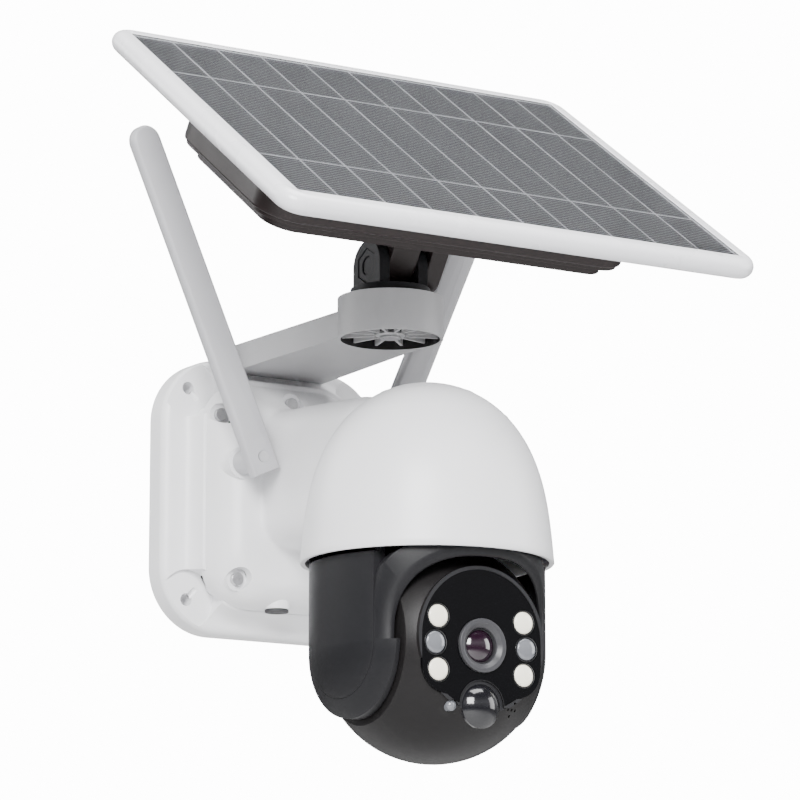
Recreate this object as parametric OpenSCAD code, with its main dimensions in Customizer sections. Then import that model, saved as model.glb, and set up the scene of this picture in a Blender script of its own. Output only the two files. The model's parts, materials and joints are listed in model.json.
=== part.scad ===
// Solar-powered pan and tilt security camera on a wall housing.
// Origin: centre of the wall flange's back face. The wall is at +Y, the camera
// looks along -Y, +Z is up and +X is the right-hand side seen from the front.

/* [Wall housing] */
// Width of the wall flange
flange_w = 110.5; // [104:0.5:118]
// Height of the wall flange
flange_h = 122; // [116:0.5:126]
// Depth of the wall flange
flange_t = 12.8; // [11:0.1:14]
// Corner radius of the wall flange
flange_r = 29; // [26:0.5:32]
// Sideways distance between the wall screw holes
wall_hole_dx = 85.6; // [84:0.2:87]
// Upright distance between the wall screw holes
wall_hole_dz = 93.6; // [92:0.2:95]
// Radius of a wall screw hole
wall_hole_r = 2.8; // [2.2:0.1:3]
// Thickness of the moulded walls
wall = 2.5; // [2:0.1:2.8]

/* [Solar arm] */
// Distance from the wall to the swivel axis
hub_y = 111; // [110:0.5:112]
// Height of the arm's underside
arm_z = 55.3; // [55:0.1:56]
// Thickness of the arm
arm_t = 11.5; // [11:0.1:12]
// Radius of the hub drum
drum_r = 22.5; // [22:0.1:23]
// Height of the drum's top face
drum_top = 72.8; // [72.5:0.1:73]
// Number of ribs under the drum
drum_ribs = 12; // [8:1:16]

/* [Solar panel] */
// Length of the panel along the arm's cross direction
panel_w = 230; // [224:1:236]
// Depth of the panel
panel_d = 188; // [180:1:192]
// Thickness of the panel frame
panel_t = 9; // [8:0.5:9]
// Tilt of the panel at rest, in degrees
panel_tilt = 35; // [30:0.5:40]
// Height of the panel's face above the tilt axis
panel_rise = 58.7; // [58:0.1:60]

/* [Dome and turret] */
// Distance from the wall to the pan axis
pan_y = 140; // [139.5:0.5:141]
// Radius of the dome's rim
dome_r = 52.6; // [52:0.1:53]
// Height of the dome
dome_h = 76; // [74:0.1:78]
// Height of the dome's rim
rim_z = -45; // [-46:0.1:-44.5]
// Radius of the turret
turret_r = 48.8; // [48.5:0.1:49]
// Half width of a turret arm
yoke_r = 29.5; // [29:0.1:30]
// Half width of a side cap
cap_r = 21.8; // [21:0.1:22.5]

/* [Camera ball] */
// Distance from the wall to the tilt axis
tilt_y = 144.5; // [144:0.1:145]
// Height of the tilt axis
tilt_z = -82; // [-82.5:0.1:-81.5]
// Radius of the camera ball
ball_r = 46; // [45.5:0.1:46]
// Half width of the ball between its flat cheeks
cheek_x = 33; // [32.5:0.1:33]
// Distance from the tilt axis to the flat face
face_d = 36; // [35.5:0.1:36.5]

/* [Antennas] */
// Length of an antenna blade
blade_l = 165; // [150:1:170]
// Width of an antenna blade
blade_w = 13.5; // [12:0.5:14]
// Outward lean of the antennas from upright, in degrees
blade_lean = 23.6; // [20:0.1:26]

/* [Hidden] */
$fn = 64;

// Colours
white = "#e9e9ea";
pale_grey = "#c9cacc";
dark_grey = "#45464a";
black = "#141416";
box_brown = "#3a3335";
steel = "#b8bbbf";
board_green = "#1f5a3a";

// Housing
bay_x = 37;
bay_z = 47;
bay_r = 18;
collar_y = 21;
cover_y = 2;
cover_t = 2.4;
// Front screws: x, z and how far the seat stands from the wall
screw_seats = [[-33.3, 33.9, 23], [33.3, 33.9, 23], [0, 41, 27], [-28.5, -39.2, 30], [28.5, -39.2, 30]];
seat_r = 4.2;
tube_r = 4;
screw_r = 1.5;
knuckle_x = 29;
knuckle_z = 11;
button_x = 16;
button_y = 26.5;
button_r = 3.2;
port_x = -6;
knuckle_r = 5.4;
blade_t = 6.4;
blade_y = 47.8;
blade_tail = 7;
pin_r = 1.6;
running = 0.05;
// Swivel and panel
web_z = 70;
ring_r = 6;
ring_z = 58.5;
stem_r = ring_r - running;
disc_top = 77;
ear_x = 12;
ear_t = 5;
ear_r = 11;
pivot_z = 86;
bolt_r = 4;
nut_af = 13;
lug_x = ear_x - ear_t - 0.3;
seam_y = 165.5;
cheek_lug = [ear_x + 0.3, ear_x + 8.5];
frame_z = panel_rise - panel_t;
box_w = 180;
box_d = 100;
box_back = 7;
panel_fwd = 1.3;
box_z = frame_z - 21;
lid_z = box_z - 6;
cell_pitch = 21.8;
// Pan drive
deck_z = -34;
chassis_z = -2;
spindle_r = 10;
race_r = 16;
ball_ring_r = 13;
tooth_m = 1;
sun_teeth = 48;
pinion_teeth = 12;
gear_z = -9;
// Face
face_y = -tilt_y - face_d;
split_y = -155;
window_zc = 1.1;
window_r = 28.4;
lobe = [16.4, -9.9, 12];
pir_dz = -25.9;
pir_r = 8.9;
lens_dz = -1.4;
led_r = 5.3;
led_outer = [20.4, 10.75];
led_middle_x = 21.7;
shell = 2.5;

// ---------- helpers ----------
// Extrudes a front-view outline from distance y0 to distance y1 in front of the wall
module from_wall(y0, y1) {
  translate([0, -y0, 0]) rotate([90, 0, 0]) linear_extrude(y1 - y0) children();
}
module rounded(w, h, r) {
  square([w - 2 * r, h], center = true);
  square([w, h - 2 * r], center = true);
  for (sx = [-1, 1], sy = [-1, 1]) translate([sx * (w / 2 - r), sy * (h / 2 - r)]) circle(r);
}
// Thin rounded slice of a loft at distance y from the wall, between heights z0 and z1
module slice(y, x, z0, z1, r) {
  translate([0, 0, (z0 + z1) / 2]) from_wall(y, y + 0.01) rounded(2 * x, z1 - z0, r, $fn = 48);
}
module rod_y(x, z, y0, y1, r) {
  translate([x, -y0, z]) rotate([90, 0, 0]) cylinder(h = y1 - y0, r = r);
}
module rod_x(x0, x1, y, z, r) {
  translate([x0, y, z]) rotate([0, 90, 0]) cylinder(h = x1 - x0, r = r);
}
module at_pan() { translate([0, -pan_y, 0]) children(); }
module at_swivel() { translate([0, -hub_y, 0]) children(); }
module at_panel() { at_swivel() translate([0, 0, pivot_z]) rotate([panel_tilt, 0, 0]) children(); }
module at_face() { translate([0, face_y, tilt_z]) rotate([90, 0, 0]) children(); }

// ---------- wall housing ----------
module wall_flange() {
  color(white) difference() {
    union() {
      hull() for (sx = [-1, 1], sz = [-1, 1])
        translate([sx * (flange_w / 2 - flange_r), 0, sz * (flange_h / 2 - flange_r)])
          rotate([90, 0, 0]) {
            cylinder(h = flange_t - 3.5, r = flange_r, $fn = 48);
            cylinder(h = flange_t - 1, r = flange_r - 1, $fn = 48);
            cylinder(h = flange_t, r = flange_r - 3.5, $fn = 48);
          }
      collar_step(flange_t - 1, 47.5, 58.5, 15, 43, 54.5);
      collar_step(15, 43, 54.5, 17.5, 41, 52.6);
      collar_step(17.5, 41, 52.6, collar_y, 40, 51.6);
    }
    from_wall(-1, flange_t - wall) difference() {
      rounded(flange_w - 6, flange_h - 6, flange_r - 3);
      for (sx = [-1, 1], sz = [-1, 1])
        translate([sx * wall_hole_dx / 2, sz * wall_hole_dz / 2]) circle(6.5);
      rounded(2 * bay_x + 6, 2 * bay_z + 6, bay_r + 3);
    }
    from_wall(-1, collar_y + 1) rounded(2 * bay_x, 2 * bay_z, bay_r);
    from_wall(-1, cover_y + cover_t) rounded(2 * bay_x + 3, 2 * bay_z + 3, bay_r + 1.5);
    for (sx = [-1, 1], sz = [-1, 1]) {
      rod_y(sx * wall_hole_dx / 2, sz * wall_hole_dz / 2, -1, flange_t + 1, wall_hole_r);
      rod_y(sx * wall_hole_dx / 2, sz * wall_hole_dz / 2, flange_t - 1.2, flange_t + 3, 11.5);
    }
    for (s = screw_seats) rod_y(s[0], s[1], 3, collar_y + 5, tube_r + 0.3);
    for (sx = [-1, 1]) translate([sx * 15, -6.5, flange_h / 2 - 8]) cylinder(h = 20, r = 1.3);
    translate([-24.5, -collar_y, arm_z]) cube([49, collar_y - flange_t, 10]);
  }
}
module collar_step(y0, x0, z0, y1, x1, z1) {
  hull() {
    slice(y0, x0, -z0, z0, 24);
    slice(y1 - 0.01, x1, -z1, z1, 21.5);
  }
}
module rear_cover() {
  color(white) difference() {
    union() {
      from_wall(cover_y, cover_y + cover_t) rounded(2 * bay_x + 2.6, 2 * bay_z + 2.6, bay_r + 1.3);
      rod_y(0, 0, 0, cover_y + 0.5, 12);
      for (s = screw_seats) rod_y(s[0], s[1], cover_y, 9, 3.6);
      for (sx = [-1, 1], sz = [-1, 1]) rod_y(sx * 24, sz * 30, cover_y, 10, 3);
    }
    for (s = screw_seats) rod_y(s[0], s[1], cover_y + 1, 12, screw_r - 0.2);
    for (sx = [-1, 1], sz = [-1, 1]) rod_y(sx * 24, sz * 30, cover_y + 1, 12, 1.1);
  }
}
module rear_seal() {
  color(black) from_wall(cover_y + cover_t, cover_y + cover_t + 1) difference() {
    intersection() {
      rounded(2 * bay_x - 0.4, 2 * bay_z - 0.4, bay_r - 0.2);
      union() {
        difference() {
          square(200, center = true);
          rounded(2 * bay_x - 6.4, 2 * bay_z - 6.4, bay_r - 3.2);
        }
        for (s = screw_seats) translate([s[0], s[1]]) circle(tube_r + 2.6);
      }
    }
    for (s = screw_seats) translate([s[0], s[1]]) circle(tube_r + 0.4);
  }
}
module body_loft(g) {
  hull() {
    slice(collar_y - (g > 0 ? 6 : 0), 39 - g, -51 + g, 50 - g, 20);
    slice(24, 38 - g, -50.6 + g, 47 - g, 19.5);
    slice(30 - g, 35.5 - g, -48.5 + g, 41 - g, 19);
    slice(36 - g, 28.5 - g, -42 + g, 36 - g, 17);
  }
}
module neck_loft(g) {
  hull() {
    slice(33 - 2 * g, 18.6 - g, -25 + g, 36.6 - g, 12);
    slice(104 - g, 18 - g, -26 + g, 31.4 - g, 12);
    slice(116 - g, 14 - g, -20 + g, 27 - g, 10);
  }
}
module front_housing() {
  color(white) difference() {
    union() {
      difference() {
        union() {
          body_loft(0);
          neck_loft(0);
        }
        body_loft(wall);
        neck_loft(wall);
        for (s = screw_seats) rod_y(s[0], s[1], s[2], 60, seat_r + 1);
      }
      for (s = screw_seats) difference() {
        rod_y(s[0], s[1], 9.2, s[2], tube_r);
        rod_y(s[0], s[1], 8, s[2] - 2.5, 2.9);
      }
      for (sx = [-1, 1]) rod_y(sx * knuckle_x, knuckle_z, 27, 36.5, knuckle_r + 1.6);
      translate([button_x, -button_y, -50.3]) cylinder(h = 6.5, r = button_r + 1.8);
      translate([port_x, -button_y, -50.3]) cylinder(h = 9, r = 5.8);
      rod_x(30, 39.3, -28, -14, 6.2);
      from_wall(78, 81) translate([0, 4]) rounded(34, 56, 10);
      for (a = [45:90:315]) rod_y(12 * cos(a), 4 + 12 * sin(a), 78, 108, 3.2);
    }
    for (s = screw_seats) rod_y(s[0], s[1], 5, s[2] + 1, screw_r + 0.15);
    for (sx = [-1, 1]) rod_y(sx * knuckle_x, knuckle_z, 26, 46, knuckle_r - 1.35);
    rod_y(0, 4, 76, 84, 8);
    for (a = [45:90:315]) rod_y(12 * cos(a), 4 + 12 * sin(a), 79, 110, 1.3);
    at_pan() dome_solid(0.1);
    translate([button_x, -button_y, -60]) cylinder(h = 22, r = button_r + running);
    translate([button_x, -button_y, -43.6]) cylinder(h = 3.6, r = button_r + 1.6);
    translate([port_x, -button_y, -60]) cylinder(h = 22, r = 4.05);
    translate([port_x, -button_y, -60]) cylinder(h = 9.7, r = 5.4);
    rod_x(28, 50, -28, -14, 5);
  }
}
module housing_screws() {
  color(steel) for (s = screw_seats) {
    rod_y(s[0], s[1], s[2], s[2] + 2, 2.9);
    rod_y(s[0], s[1], 4.2, s[2], screw_r - 0.2);
  }
}
module main_board() {
  color(board_green) difference() {
    from_wall(10.1, 11.7) rounded(56, 72, 3);
    for (s = screw_seats) rod_y(s[0], s[1], 5, 20, tube_r + 1);
  }
  color(black) {
    translate([-12, -15.5, 8]) cube([24, 3.8, 24]);
    translate([-18, -14, -22]) cube([14, 2.3, 14]);
  }
  color(steel) for (sx = [-1, 1]) translate([sx * 20 - 2, -14, 22]) cube([4, 2.3, 4]);
}
module power_button() {
  color(dark_grey) translate([button_x, -button_y, 0]) {
    translate([0, 0, -52]) cylinder(h = 9.2, r = button_r);
    translate([0, 0, -43.5]) cylinder(h = 1.4, r = button_r + 1.3);
  }
}
module port_plug() {
  color(dark_grey) translate([port_x, -button_y, 0]) {
    translate([0, 0, -50.8]) cylinder(h = 8, r = 4);
    translate([0, 0, -51.7]) cylinder(h = 1.4, r = 5.2);
  }
}
module lead_gland() {
  color(dark_grey) difference() {
    union() {
      rod_x(28.5, 41.5, -28, -14, 5);
      rod_x(39.3, 43.5, -28, -14, 6.3, $fn = 6);
      rod_x(43.5, 50, -28, -14, 4.6);
    }
    rod_x(27, 52, -28, -14, 2);
  }
}

// ---------- solar arm ----------
module solar_arm() {
  color(pale_grey) difference() {
    union() {
      difference() {
        union() {
          translate([0, 0, arm_z]) linear_extrude(arm_t)
            polygon([[-24.2, -flange_t], [24.2, -flange_t], [20.4, -hub_y], [-20.4, -hub_y]]);
          translate([0, -hub_y, arm_z]) cylinder(h = drum_top - arm_z, r = drum_r);
          translate([-24.2, -flange_t, flange_h / 2]) cube([48.4, flange_t, arm_z + arm_t - flange_h / 2]);
        }
        translate([0, -hub_y, arm_z - 1]) cylinder(h = web_z - arm_z + 1, r = drum_r - 1.4);
      }
      translate([0, -hub_y, ring_z]) cylinder(h = drum_top - ring_z, r = ring_r + 1.8);
      translate([0, -hub_y, 0]) for (k = [0:drum_ribs - 1]) rotate([0, 0, (k + 0.5) * 360 / drum_ribs])
        translate([ring_r + 1, -0.6, ring_z - 1.6]) cube([drum_r - ring_r - 1.8, 1.2, web_z - ring_z + 2]);
    }
    translate([0, -hub_y, 50]) cylinder(h = 30, r = ring_r);
    for (sx = [-1, 1]) translate([sx * 15, -6.5, 0]) {
      translate([0, 0, 50]) cylinder(h = 20, r = 1.7);
      translate([0, 0, arm_z + arm_t - 2]) cylinder(h = 4, r = 3.3);
    }
  }
}
module arm_screws() {
  color(steel) for (sx = [-1, 1]) translate([sx * 15, -6.5, 0]) {
    translate([0, 0, arm_z + arm_t - 2]) cylinder(h = 1.8, r = 3);
    translate([0, 0, 54]) cylinder(h = 11, r = 1.2);
  }
}

// ---------- antennas ----------
module antenna_knuckles() {
  color(pale_grey) for (sx = [-1, 1]) difference() {
    union() {
      rod_y(sx * knuckle_x, knuckle_z, 36.5, blade_y - 0.3, knuckle_r);
      rod_y(sx * knuckle_x, knuckle_z, 28, 37, knuckle_r - 1.4);
    }
    rod_y(sx * knuckle_x, knuckle_z, 38, 60, pin_r - 0.1);
  }
}
module antenna_pins() {
  color(steel) for (sx = [-1, 1]) {
    rod_y(sx * knuckle_x, knuckle_z, 40, blade_y + blade_t - 1, pin_r - 0.1);
    rod_y(sx * knuckle_x, knuckle_z, blade_y + blade_t - 1.2, blade_y + blade_t + 0.3, 2.4);
  }
}
module antenna(side) {
  color(pale_grey) translate([side * knuckle_x, 0, knuckle_z]) rotate([0, side * blade_lean, 0]) difference() {
    union() {
      from_wall(blade_y, blade_y + blade_t) translate([-blade_w / 2, -blade_tail])
        square([blade_w, blade_l - blade_w / 2]);
      rod_y(0, blade_l - blade_tail - blade_w / 2, blade_y, blade_y + blade_t, blade_w / 2);
    }
    rod_y(0, 0, 40, 60, pin_r - 0.1 + running);
    rod_y(0, 0, blade_y + blade_t - 1.5, 60, 2.5);
  }
}
module antenna_left() antenna(-1);
module antenna_right() antenna(1);

// ---------- dome ----------
function dome_at(t) = (1 - 0.12 * t) * sqrt(1 - pow(t, 3.2));
dome_steps = 28;
// Fraction of the dome's height at step k, closer together towards the crown
function dome_t(k) = sin(90 * k / dome_steps);
module dome_outline(g) {
  polygon(concat([[0, rim_z - (g < 0 ? 1 : 0)], [dome_r + g, rim_z - (g < 0 ? 1 : 0)]],
    [for (k = [0:dome_steps - 1]) [(dome_r + g) * dome_at(dome_t(k)), rim_z + (dome_h + g) * dome_t(k)]],
    [[0, rim_z + dome_h + g]]));
}
module dome_solid(g) { rotate_extrude($fn = 96) dome_outline(g); }
module dome_cover() {
  color(white) at_pan() difference() {
    union() {
      difference() {
        dome_solid(0);
        dome_solid(-2.3);
      }
      intersection() {
        for (a = [90, 210, 330]) rotate([0, 0, a]) translate([32, 0, 1]) cylinder(h = 40, r = 3.4);
        dome_solid(-0.5);
      }
      intersection() {
        for (a = [45:90:315]) translate([12 * cos(a), a < 180 ? 31.6 : 42.4, 4 + 12 * sin(a)]) rotate([-90, 0, 0])
          cylinder(h = 20, r = 3.1);
        dome_solid(-0.5);
      }
    }
    for (a = [90, 210, 330]) rotate([0, 0, a]) translate([32, 0, -5]) cylinder(h = 14, r = 1.2);
    translate([0, 30, 4]) rotate([-90, 0, 0]) cylinder(h = 30, r = 6);
    for (a = [45:90:315]) translate([12 * cos(a), 30, 4 + 12 * sin(a)]) rotate([-90, 0, 0])
      cylinder(h = 30, r = 1.6);
    for (a = [45:90:315]) translate([12 * cos(a), 22, 4 + 12 * sin(a)]) rotate([-90, 0, 0])
      cylinder(h = a < 180 ? 9.6 : 20.4, r = 2.8);
  }
}
module dome_screws() {
  color(steel) at_pan() for (a = [45:90:315]) translate([12 * cos(a), 0, 4 + 12 * sin(a)])
    rotate([-90, 0, 0]) {
      translate([0, 0, a < 180 ? 31.6 : 42.4]) cylinder(h = a < 180 ? 26 : 15.2, r = 1.2);
      translate([0, 0, a < 180 ? 29.8 : 40.6]) cylinder(h = 1.8, r = 2.5);
    }
}
module chassis_plate() {
  color(black) at_pan() difference() {
    union() {
      translate([0, 0, chassis_z]) cylinder(h = 3, r = 40);
      translate([0, 0, chassis_z]) cylinder(h = 8.5, r = race_r + 3);
    }
    translate([0, 0, chassis_z - 1]) cylinder(h = 8, r = race_r);
    translate([0, 0, chassis_z - 1]) cylinder(h = 12, r = 14.2);
    for (a = [90, 210, 330]) rotate([0, 0, a]) translate([32, 0, -5]) cylinder(h = 14, r = 1.6);
    translate([-6, 24, -5]) cube([12, 9, 10]);
  }
}
module chassis_screws() {
  color(steel) at_pan() for (a = [90, 210, 330]) rotate([0, 0, a]) translate([32, 0, 0]) {
    translate([0, 0, -3.8]) cylinder(h = 1.8, r = 2.7);
    translate([0, 0, -2]) cylinder(h = 9, r = 1.1);
  }
}
// Spur gear outline: teeth as trapezoids on the root circle
module gear_outline(teeth, slack) {
  pitch = teeth * tooth_m / 2;
  half = 90 / teeth;
  circle(pitch - 1.25 * tooth_m);
  for (k = [0:teeth - 1]) rotate(k * 360 / teeth) polygon([
    [pitch - 1.4 * tooth_m, -(pitch - 1.25) * tan(half) * 1.45 + slack],
    [pitch, -pitch * tan(half) + slack], [pitch + tooth_m, -pitch * tan(half) * 0.5 + slack],
    [pitch + tooth_m, pitch * tan(half) * 0.5 - slack], [pitch, pitch * tan(half) - slack],
    [pitch - 1.4 * tooth_m, (pitch - 1.25) * tan(half) * 1.45 - slack]]);
}
module pan_gear() {
  color(white) at_pan() difference() {
    union() {
      translate([0, 0, gear_z]) linear_extrude(6) gear_outline(sun_teeth, 0.12);
      translate([0, 0, gear_z + 5]) cylinder(h = 2, r = 20);
    }
    translate([0, 0, gear_z - 1]) cylinder(h = 10, r = 13.4);
  }
}
module race_groove() { rotate_extrude() translate([ball_ring_r, 0]) circle(1.75 + running, $fn = 32); }
module bearing_outer_race() {
  color(steel) at_pan() translate([0, 0, chassis_z + 3.5]) difference() {
    translate([0, 0, -3.5]) cylinder(h = 7, r = race_r);
    translate([0, 0, -5]) cylinder(h = 10, r = 13.9);
    race_groove();
  }
}
module bearing_inner_race() {
  color(steel) at_pan() translate([0, 0, chassis_z + 3.5]) difference() {
    translate([0, 0, -3.5]) cylinder(h = 7, r = 12.1);
    translate([0, 0, -5]) cylinder(h = 10, r = spindle_r);
    race_groove();
  }
}
module bearing_balls() {
  color(steel) at_pan() translate([0, 0, chassis_z + 3.5]) for (k = [0:11]) rotate([0, 0, 30 * k])
    translate([ball_ring_r, 0, 0]) sphere(1.75, $fn = 24);
}

// ---------- turret ----------
// Outer volume of the turret: a drum above the tilt axis, a ball below it
module turret_solid(r) {
  at_pan() {
    translate([0, 0, tilt_z]) cylinder(h = rim_z + 3 - tilt_z, r = r);
    translate([0, 0, tilt_z]) sphere(r);
  }
}
// U-shaped prism along X, centred on the tilt axis and open upwards
module u_prism(r, x0, x1) {
  rod_x(x0, x1, -tilt_y + 0.5, tilt_z, r);
  translate([x0, -tilt_y + 0.5 - r, tilt_z]) cube([x1 - x0, 2 * r, 60]);
}
// Arched opening of the turret, as a prism along Y
module arch(half_w, up) {
  from_wall(pan_y + 5, pan_y + 60) translate([0, tilt_z]) {
    polygon([for (k = [0:24]) let (a = 180 * k / 24)
      [half_w * sign(cos(a)) * pow(abs(cos(a)), 0.72), up * pow(sin(a), 0.72)]]);
    translate([-half_w, -40]) square([2 * half_w, 40.01]);
  }
}
module turret_yoke() {
  color(dark_grey) difference() {
    union() {
      // Deck and spindle
      at_pan() {
        translate([0, 0, deck_z]) cylinder(h = 3, r = 46.3);
        translate([0, 0, deck_z]) cylinder(h = chassis_z - deck_z, r = 12.1);
        translate([0, 0, deck_z]) cylinder(h = 43, r = spindle_r);
      }
      // Back and side walls
      intersection() {
        at_pan() difference() {
          union() {
            translate([0, 0, tilt_z]) cylinder(h = rim_z + 3 - tilt_z, r = turret_r);
            translate([0, 0, rim_z]) cylinder(h = deck_z - rim_z + 1, r = 46.3);
          }
          translate([0, 0, tilt_z - 1]) cylinder(h = deck_z - tilt_z + 1, r = 44);
        }
        translate([-60, -seam_y + 0.1, -100]) cube([120, 120, 80]);
      }
      // Arms
      difference() {
        intersection() {
          turret_solid(turret_r);
          union() {
            u_prism(yoke_r, -60, -cheek_x - 0.8);
            u_prism(yoke_r, cheek_x + 0.8, 60);
          }
          translate([-60, -230, tilt_z - 60]) cube([120, 230, 60 + 32]);
        }
        translate([-60, -220, tilt_z]) cube([120, 220 - seam_y + 0.1, 60]);
      }
    }
    // Recess behind each side cap, and the pockets inside the arms
    difference() {
      union() {
        u_prism(cap_r, -60, -cheek_x - 4);
        u_prism(cap_r, cheek_x + 4, 60);
      }
      intersection() {
        turret_solid(turret_r - 2.6);
        union() {
          u_prism(cap_r + 1, -60, -cheek_x - 0.8);
          u_prism(cap_r + 1, cheek_x + 0.8, 60);
        }
        union() {
          rod_x(-60, 60, -tilt_y, tilt_z, 9);
          difference() {
            u_prism(cap_r + 1, -60, 60);
            u_prism(cap_r - 2, -61, 61);
          }
        }
      }
    }
    rod_x(-60, -30, -tilt_y, tilt_z, 6 + running);
    rod_x(30, 60, -tilt_y, tilt_z, 2.5);
    at_pan() translate([0, 0, deck_z - 1]) cylinder(h = 60, r = 7);
    at_pan() for (sx = [-1, 1]) translate([16 * sx, 30, deck_z - 1]) cylinder(h = 6, r = 1.6);
  }
}
module turret_front_cover() {
  color(dark_grey) difference() {
    intersection() {
      at_pan() difference() {
        translate([0, 0, tilt_z]) cylinder(h = rim_z + 3 - tilt_z, r = turret_r);
        translate([0, 0, tilt_z - 1]) cylinder(h = 60, r = turret_r - 2.5);
      }
      translate([-60, -230, tilt_z]) cube([120, 230 - seam_y, 60]);
    }
    arch(35, 34);
    u_prism(cap_r + 0.1, -60, -cheek_x);
    u_prism(cap_r + 0.1, cheek_x, 60);
  }
}
module side_cap(side) {
  x0 = side > 0 ? cheek_x + 4 : -60;
  x1 = side > 0 ? 60 : -cheek_x - 4;
  color(dark_grey) intersection() {
    difference() {
      turret_solid(turret_r);
      turret_solid(turret_r - 2.5);
    }
    u_prism(cap_r - 0.15, x0, x1);
    translate([-60, -230, tilt_z - 60]) cube([120, 230, 60 + 36]);
  }
}
module side_cap_left() side_cap(-1);
module side_cap_right() side_cap(1);
module spindle_nut() {
  color(steel) at_pan() translate([0, 0, chassis_z + 7]) difference() {
    cylinder(h = 3, r = 13, $fn = 6);
    translate([0, 0, -1]) cylinder(h = 6, r = spindle_r);
  }
}
module pan_motor() {
  color(steel) at_pan() translate([0, 30, deck_z + 3]) {
    cylinder(h = 19, r = 13.5);
    for (sx = [-1, 1]) translate([16 * sx, 0, 0]) difference() {
      cylinder(h = 1.2, r = 3.4);
      translate([0, 0, -1]) cylinder(h = 3, r = 1.6);
    }
    translate([0, 0, 19]) cylinder(h = 7.8, r = 1.5);
  }
}
module pan_pinion() {
  color(white) at_pan() translate([0, 30, gear_z]) difference() {
    rotate([0, 0, 15]) linear_extrude(4.6) gear_outline(pinion_teeth, 0.12);
    translate([0, 0, -1]) cylinder(h = 8, r = 1.5 + running);
  }
}
module tilt_shaft() {
  color(steel) rod_x(15, 42, -tilt_y, tilt_z, 2.5);
}

// ---------- camera ball ----------
module ball_volume(g) {
  difference() {
    translate([0, -tilt_y, tilt_z]) rotate([0, 90, 0]) rotate_extrude($fn = 96) intersection() {
      circle(ball_r - g);
      translate([0, -cheek_x + g]) square([60, 2 * (cheek_x - g)]);
    }
    translate([-60, face_y - 60 + g * 1.2, tilt_z - 60]) cube([120, 60, 120]);
  }
}
module ball_rear_shell() {
  color(dark_grey) difference() {
    intersection() {
      ball_volume(0);
      translate([-60, split_y, -200]) cube([120, 120, 200]);
    }
    ball_volume(shell);
    rod_x(-60, -20, -tilt_y, tilt_z, 6);
    rod_x(20, 60, -tilt_y, tilt_z, 5);
  }
}
// Front-view outline of the glossy face window, about the tilt axis
module window_outline(g) {
  difference() {
    union() {
      translate([0, window_zc]) circle(window_r - g);
      for (sx = [-1, 1]) translate([sx * lobe[0], lobe[1]]) circle(lobe[2] - g);
      translate([-window_r + g, lobe[1]]) square([2 * (window_r - g), window_zc - lobe[1]]);
      translate([-lobe[0], lobe[1] - lobe[2] + g]) square([2 * lobe[0], 12]);
    }
    translate([0, pir_dz]) circle(pir_r + 1.8 + g);
    translate([-pir_r - 1.8 - g, pir_dz - 20]) square([2 * (pir_r + 1.8 + g), 20]);
  }
}
module led_places() {
  for (sx = [-1, 1]) {
    for (k = [-1, 1]) translate([sx * led_outer[0], lens_dz + k * led_outer[1]]) children();
    translate([sx * led_middle_x, lens_dz]) children();
  }
}
module ball_front_shell() {
  color(dark_grey) difference() {
    union() {
      difference() {
        intersection() {
          ball_volume(0);
          translate([-60, split_y - 60 - 0.05, -200]) cube([120, 60, 200]);
        }
        ball_volume(shell);
      }
      at_face() translate([0, 0, -1]) linear_extrude(1.9) difference() {
        translate([0, window_zc]) circle(window_r + 1.5);
        translate([0, pir_dz]) circle(pir_r + 1.6);
        translate([-13, -60]) square([26, 60 + pir_dz]);
      }
    }
    at_face() {
      translate([0, 0, -0.6]) linear_extrude(5) window_outline(0);
      translate([0, lens_dz, -8]) cylinder(h = 12, r = 11.2);
      translate([0, 0, -8]) led_places() cylinder(h = 12, r = led_r + 0.1);
      translate([0, pir_dz, -8]) cylinder(h = 7, r = pir_r - 1);
      translate([0, pir_dz, -1.5]) cylinder(h = 7, r = pir_r + 0.1);
      translate([-13.9, pir_dz - 0.3, -8]) cylinder(h = 12, r = 2.3);
      translate([15.8, pir_dz - 0.3, -12]) cylinder(h = 6.4, r = 3);
      translate([15.8, pir_dz - 0.3, -8]) for (q = [[0, 0], [2.3, 0], [-2.3, 0], [0, 2.3], [0, -2.3]])
        translate(q) cylinder(h = 12, r = 0.55);
    }
  }
}
module face_window() {
  color(black) at_face() translate([0, 0, -0.6]) linear_extrude(1.3) difference() {
    window_outline(0.15);
    translate([0, lens_dz]) circle(11.15);
    led_places() circle(led_r + 0.1);
  }
}
module lens_ring() {
  color(dark_grey) at_face() translate([0, lens_dz, 0]) difference() {
    translate([0, 0, -4]) cylinder(h = 6.2, r = 11);
    translate([0, 0, -5]) cylinder(h = 9, r = 7.3);
    translate([0, 0, 0.6]) cylinder(h = 1.7, r1 = 7.3, r2 = 9.4);
  }
}
module lens_barrel() {
  color(black) at_face() translate([0, lens_dz, 0]) difference() {
    translate([0, 0, -27]) cylinder(h = 26.5, r = 7.2);
    translate([0, 0, -28]) cylinder(h = 6, r = 5.4);
    translate([0, 0, -3]) cylinder(h = 4, r = 6.6);
  }
}
module lens_glass() {
  color("#3a1230") at_face() translate([0, lens_dz, 0]) intersection() {
    translate([0, 0, -8.7]) sphere(10.2, $fn = 48);
    translate([0, 0, -2.9]) cylinder(h = 6, r = 6.5);
  }
}
module led_lens() {
  translate([0, 0, -3]) cylinder(h = 3.4, r = led_r);
  intersection() {
    translate([0, 0, -8.2]) sphere(10.1, $fn = 48);
    translate([0, 0, 0.4]) cylinder(h = 3, r = led_r);
  }
}
module white_led_lenses() {
  color("#fdf9e6") at_face() for (sx = [-1, 1], k = [-1, 1])
    translate([sx * led_outer[0], lens_dz + k * led_outer[1], 0]) led_lens();
}
module infrared_led_lenses() {
  color("#dfe2e8") at_face() for (sx = [-1, 1]) translate([sx * led_middle_x, lens_dz, 0]) led_lens();
}
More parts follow.
